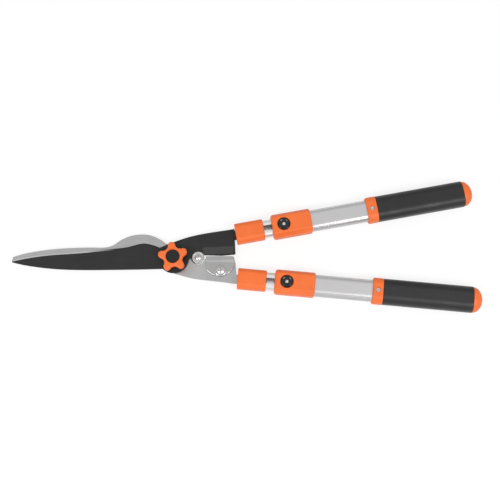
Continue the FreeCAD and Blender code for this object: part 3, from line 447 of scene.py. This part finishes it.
def star_outline():
    """Points round the knob's side, each with the direction straight out of the side there."""
    outer = knob_radius()
    half_pitch = math.pi / KNOB_LOBES
    lobe_centre = outer - KNOB_LOBE_TIP
    across = KNOB_VALLEY_CENTRE * math.sin(half_pitch)
    along = KNOB_VALLEY_CENTRE * math.cos(half_pitch) - lobe_centre
    swing = math.atan2(across, along)
    points = []
    for lobe in range(KNOB_LOBES):
        axis = KNOB_REST_TURN + 2 * half_pitch * lobe
        centre = Vector((lobe_centre * math.cos(axis), lobe_centre * math.sin(axis), 0))
        for step in range(LOBE_STEPS):
            turn = axis - swing + 2 * swing * step / LOBE_STEPS
            out = Vector((math.cos(turn), math.sin(turn), 0))
            points.append((centre + out * KNOB_LOBE_TIP, out))
        valley = axis + half_pitch
        hollow = Vector((math.cos(valley), math.sin(valley), 0)) * KNOB_VALLEY_CENTRE
        reach = swing - half_pitch
        for step in range(VALLEY_STEPS):
            turn = valley + reach - 2 * reach * step / VALLEY_STEPS
            out = Vector((math.cos(turn), math.sin(turn), 0))
            points.append((hollow - out * KNOB_VALLEY, out))
    return points


def knob_radius():
    """Radius over the knob's lobes, from how far its farthest lobe stands out along +Y."""
    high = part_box("tension_knob")[1].y
    lean = KNOB_REST_TURN - math.pi / 2
    return (high - KNOB_LOBE_TIP) / math.cos(lean) + KNOB_LOBE_TIP


def tension_knob():
    """The star knob as moulded: a rounded rim, a bead round the cap's pocket, a hub below."""
    low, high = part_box("tension_knob")
    foot, top = low.z, high.z
    outline = star_outline()
    turns = [math.atan2(point.y, point.x) for point, out in outline]

    def star(inset, z):
        """The star outline at one height, moved in from the side."""
        return [Vector((p.x - out.x * inset, p.y - out.y * inset, z)) for p, out in outline]

    def circle(radius, z):
        """A circle with a point in line with each point of the star."""
        return [Vector((radius * math.cos(t), radius * math.sin(t), z)) for t in turns]

    face = top - KNOB_FACE_DROP
    belly = foot + KNOB_HUB_HEIGHT
    nut_roof = foot + KNOB_NUT_DEPTH
    rings = [
        circle(KNOB_BOLT_HOLE, top - KNOB_CAP_DEPTH), circle(KNOB_CAP_POCKET, top - KNOB_CAP_DEPTH),
        circle(KNOB_CAP_POCKET, face), circle(KNOB_CAP_POCKET + 0.15 * MM, top - 0.08 * MM),
        circle(KNOB_CAP_POCKET + 0.5 * MM, top),
        circle(KNOB_CAP_POCKET + 0.9 * MM, top - 0.06 * MM),
        circle(KNOB_CAP_POCKET + 1.2 * MM, face),
    ]
    rings += [star(inset, face - drop) for inset, drop in round_over(KNOB_RIM)]
    rings += [
        star(inset, belly + drop) for inset, drop in reversed(round_over(KNOB_FOOT_RIM, 4))
    ]
    rings += [
        circle(KNOB_HUB, belly), circle(KNOB_HUB, foot + 0.4 * MM),
        circle(KNOB_HUB - 0.4 * MM, foot), circle(KNOB_NUT_POCKET, foot),
        circle(KNOB_NUT_POCKET, nut_roof), circle(KNOB_BOLT_HOLE, nut_roof),
    ]
    ring_mesh("star_knob", rings, orange, "tension_knob")


def lock_button(side):
    """The thumb button: a fat rounded rim, a dished face, a groove below for its spring."""
    low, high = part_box("lock_button_" + side)
    centre = (low + high) / 2
    radius = (high.x - low.x) / 2
    foot, top = low.z, high.z
    groove = foot + BUTTON_GROOVE
    profile = [
        (BUTTON_STEM_HOLE, foot), (BUTTON_BOSS, foot), (BUTTON_BOSS, groove),
        (BUTTON_SKIRT, groove), (BUTTON_SKIRT, foot), (radius, foot),
    ]
    profile += [(radius - inset, top - drop) for inset, drop in reversed(round_over(BUTTON_RIM))]
    profile += [
        (radius - 1.5 * MM, top - 0.02 * MM), (radius - 1.9 * MM, top - 0.15 * MM),
        (radius - 2.3 * MM, top - 0.38 * MM), (radius - 2.8 * MM, top - 0.55 * MM),
        (radius - 3.4 * MM, top - BUTTON_DISH), (BUTTON_STEM_HOLE, top - BUTTON_DISH),
    ]
    turns = [2 * math.pi * step / BUTTON_STEPS for step in range(BUTTON_STEPS)]
    rings = [
        [Vector((centre.x + r * math.cos(t), centre.y + r * math.sin(t), z)) for t in turns]
        for r, z in profile
    ]
    ring_mesh("thumb_button_" + side, rings, gloss_black, "lock_button_" + side)


def lock_spring(side):
    """The button's coil spring."""
    node = "lock_spring_" + side
    low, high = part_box(node)
    centre = (low + high) / 2
    coil = (high.x - low.x) / 2 - SPRING_WIRE
    height = high.z - low.z - 2 * SPRING_WIRE
    steps = int(SPRING_TURNS * SPRING_STEPS)
    rings = []
    for step in range(steps + 1):
        turn = 2 * math.pi * SPRING_TURNS * step / steps
        out = Vector((math.cos(turn), math.sin(turn), 0))
        middle = Vector((centre.x, centre.y, low.z + SPRING_WIRE + height * step / steps))
        middle += out * coil
        rings.append([
            middle + (out * math.cos(t) + Vector((0, 0, math.sin(t)))) * SPRING_WIRE
            for t in (2 * math.pi * side_step / WIRE_SIDES for side_step in range(WIRE_SIDES))
        ])
    piece = ring_mesh("coil_spring_" + side, rings, spring_steel, node, True)
    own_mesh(piece)


orange = orange_plastic()
black = black_plastic()
spring_steel = plated_steel("spring_steel", (0.25, 0.25, 0.26), 0.35)
gloss_black = black_plastic("button_plastic", (0.006, 0.006, 0.006), 0.13, 0.5)
dress_frame()
tension_knob()
for side in ("left", "right"):
    lock_button(side)
    lock_spring(side)


# ---- floor, light and camera ------------------------------------------------------------------
LAMP_SIZE = 0.45
LAMP_DISTANCE = 1.5
LAMP_RADIANCE = 11.0
LAMP_AIM = Vector((0.1, 0.0, 0.0))   # near the middle of the tool
FLOOR_REACH = 4.0
FLOOR_GAP = 0.1 * MM                 # the floor below the part
FLOOR_GLOW = 0.78                    # makes up for the floor's low albedo, and keeps shadows faint


def plain_floor():
    """A wide white sheet that the shears lie on."""
    mesh = bpy.data.meshes.new("floor")
    shape = bmesh.new()
    corners = [(-1, -1), (1, -1), (1, 1), (-1, 1)]
    height = cad_box[0][2] - FLOOR_GAP
    shape.faces.new([
        shape.verts.new((x * FLOOR_REACH, y * FLOOR_REACH, height)) for x, y in corners
    ])
    shape.to_mesh(mesh)
    shape.free()
    floor = bpy.data.objects.new("floor", mesh)
    bpy.context.scene.collection.objects.link(floor)
    s = Surface("floor_white", Roughness=0.9, Specular_IOR_Level=0.0)
    paper = s.noise(12, detail=4)
    s.set("Base Color", s.blend(paper, rgba(0.19, 0.19, 0.19), rgba(0.21, 0.21, 0.21)))
    s.set("Emission Color", rgba(1, 1, 1))
    s.set("Emission Strength", FLOOR_GLOW)
    mesh.materials.append(s.material)


def lamp(name, direction):
    """A square soft light that looks at the middle of the tool."""
    light = bpy.data.lights.new(name, "AREA")
    light.size = LAMP_SIZE
    light.energy = math.pi * LAMP_SIZE**2 * LAMP_RADIANCE
    made = bpy.data.objects.new(name, light)
    bpy.context.scene.collection.objects.link(made)
    towards = Vector(direction).normalized()
    made.location = LAMP_AIM + towards * LAMP_DISTANCE
    made.rotation_euler = (-towards).to_track_quat("-Z", "Y").to_euler()


def studio():
    """White surroundings, darker behind the tool, and two soft lamps on the camera's side."""
    world = bpy.data.worlds.new("studio")
    world.use_nodes = True
    nodes, links = world.node_tree.nodes, world.node_tree.links
    direction = nodes.new("ShaderNodeTexCoord")
    split = nodes.new("ShaderNodeSeparateXYZ")
    fade = nodes.new("ShaderNodeMapRange")
    for socket, value in zip(("From Min", "From Max", "To Min", "To Max"), (0.3, 0.9, 0.82, 0.57)):
        fade.inputs[socket].default_value = value
    links.new(direction.outputs["Generated"], split.inputs[0])
    links.new(split.outputs["Y"], fade.inputs["Value"])
    links.new(fade.outputs[0], nodes["Background"].inputs["Strength"])
    nodes["Background"].inputs["Color"].default_value = rgba(1.0, 1.0, 1.0)
    bpy.context.scene.world = world
    lamp("lamp_blades", (-0.50, -0.37, 0.78))
    lamp("lamp_grips", (0.50, -0.37, 0.78))
    bpy.context.scene.view_settings.view_transform = "Standard"


def camera():
    """Looks down on the tool from its plain-blade side, a little turned about its own axis."""
    target = Vector((111.8, 6.1, 15.0)) * MM
    distance = 1.3
    elevation = math.radians(78.07)
    roll = math.radians(2.55)
    forward = Vector((0, math.cos(elevation), -math.sin(elevation)))
    right = Vector((1, 0, 0))
    up = right.cross(forward)
    turn = Matrix((right, up, -forward)).transposed().to_4x4()
    lens = bpy.data.cameras.new("camera")
    lens.sensor_width = 36.0
    lens.lens = 64.4
    lens.clip_start = 0.01
    view = bpy.data.objects.new("camera", lens)
    bpy.context.scene.collection.objects.link(view)
    view.matrix_world = (
        Matrix.Translation(target - forward * distance) @ turn @ Matrix.Rotation(-roll, 4, "Z")
    )
    bpy.context.scene.camera = view


plain_floor()
studio()
camera()
